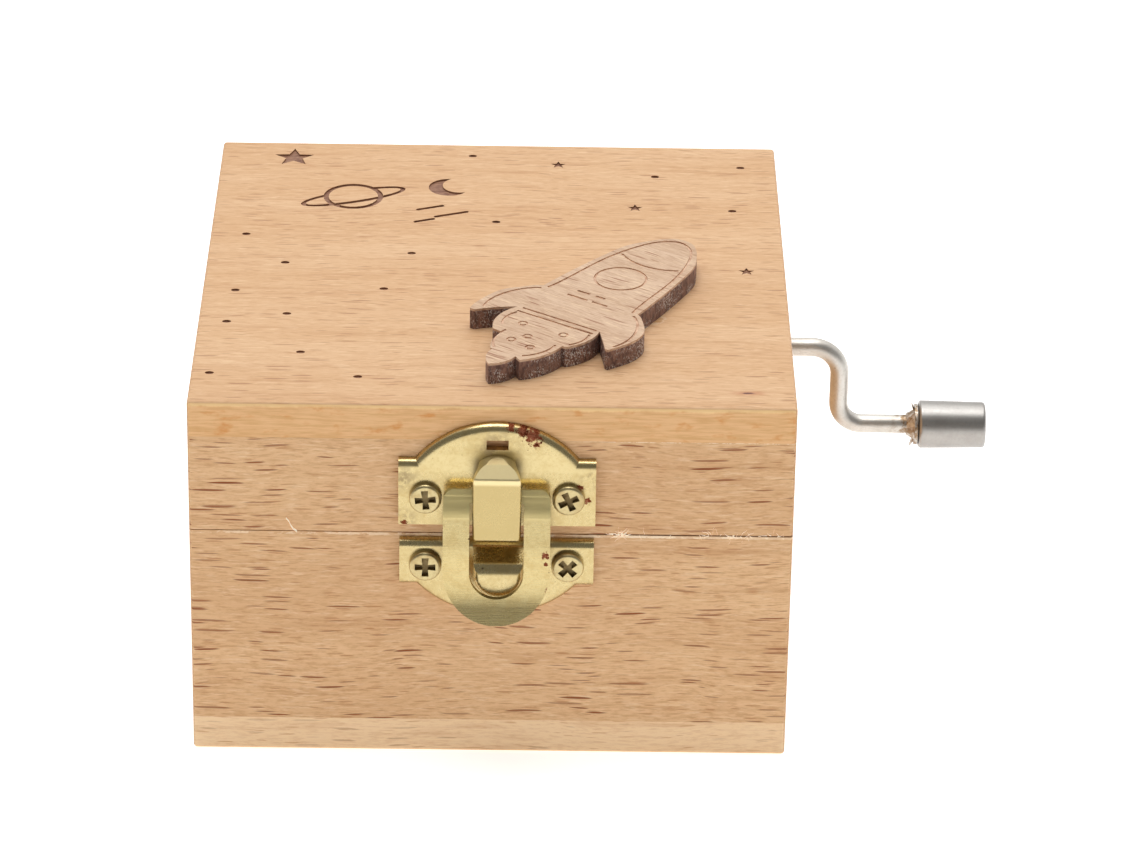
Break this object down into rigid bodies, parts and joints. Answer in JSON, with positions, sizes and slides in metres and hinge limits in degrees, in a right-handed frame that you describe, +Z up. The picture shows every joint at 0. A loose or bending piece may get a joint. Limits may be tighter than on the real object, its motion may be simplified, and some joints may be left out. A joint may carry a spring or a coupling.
{
  "type": "hand crank music box",
  "caption": "Small wooden box with a hinged lid, a brass ring latch and a bent wire crank that turns a pinned cylinder and comb movement inside.",
  "frame": {"origin": "centre of the box's underside, on the surface it stands on", "axes": "+X towards the crank, -Y towards the latch, +Z up"},
  "size_m": [0.089, 0.0769, 0.0444],
  "materials": {
    "beech": "fine sanded, unvarnished",
    "burnt_plywood": "laser cut, scorched edges",
    "latch_brass": "bright plated, slightly worn",
    "screw_brass": "tumbled",
    "hinge_brass": "satin",
    "zinc_casting": "as cast zinc alloy",
    "zinc_plated_steel": "zinc plated",
    "comb_steel": "ground",
    "lead": "dull",
    "movement_brass": "turned",
    "shaft_steel": "polished",
    "satin_nickel": "satin nickel plate"
  },
  "bodies": {
    "base": {"base_bottom_panel": "beech", "base_front_wall": "beech", "base_back_wall": "beech", "base_left_wall": "beech", "base_right_wall": "beech", "latch_catch_plate": "latch_brass", "latch_lower_screws": "screw_brass", "left_hinge_base_leaf": "hinge_brass", "right_hinge_base_leaf": "hinge_brass", "left_hinge_pin": "hinge_brass", "right_hinge_pin": "hinge_brass", "hinge_base_screws": "hinge_brass", "movement_bedplate": "zinc_casting", "movement_mounting_screws": "zinc_plated_steel", "comb": "comb_steel", "comb_bass_weights": "lead", "comb_screws": "zinc_plated_steel", "cylinder_front_bush": "movement_brass", "cylinder_rear_bush": "movement_brass", "crank_left_bush": "movement_brass", "crank_right_bush": "movement_brass"},
    "lid": {"lid_top_panel": "beech", "lid_front_wall": "beech", "lid_back_wall": "beech", "lid_left_wall": "beech", "lid_right_wall": "beech", "rocket_ornament": "burnt_plywood", "latch_tongue_plate": "latch_brass", "latch_upper_screws": "screw_brass", "left_hinge_lid_leaf": "hinge_brass", "right_hinge_lid_leaf": "hinge_brass", "hinge_lid_screws": "hinge_brass"},
    "latch_ring": {"latch_ring": "latch_brass"},
    "crank": {"crank_rod": "satin_nickel", "crank_worm": "shaft_steel", "worm_retaining_clip": "zinc_plated_steel", "knob_collar": "satin_nickel"},
    "knob": {"crank_knob": "satin_nickel"},
    "cylinder": {"cylinder_tube": "movement_brass", "melody_pins": "shaft_steel", "cylinder_front_cap": "movement_brass", "cylinder_rear_cap": "movement_brass", "cylinder_arbor": "shaft_steel", "worm_wheel": "movement_brass"}
  },
  "joints": [
    {"name": "lid_hinge", "type": "hinge", "parent": "base", "child": "lid", "pos_m": [0, 0.03465, 0.0269], "axis": [-1, 0, 0], "range_deg": [0, 105]},
    {"name": "latch_swing", "type": "hinge", "parent": "lid", "child": "latch_ring", "pos_m": [0.0006, -0.03585, 0.03265], "axis": [-1, 0, 0], "range_deg": [0, 150]},
    {"name": "crank_spin", "type": "hinge", "parent": "base", "child": "crank", "pos_m": [0, 0.0199, 0.023], "axis": [1, 0, 0], "continuous": true},
    {"name": "knob_spin", "type": "hinge", "parent": "crank", "child": "knob", "pos_m": [0.05312, 0.0199, 0.01315], "axis": [1, 0, 0], "continuous": true},
    {"name": "cylinder_spin", "type": "hinge", "parent": "base", "child": "cylinder", "pos_m": [0.004, 0.001, 0.015], "axis": [0, 1, 0], "continuous": true}
  ],
  "couplings": [
    {"joint": "cylinder_spin", "follows": "crank_spin", "ratio": -0.05}
  ]
}
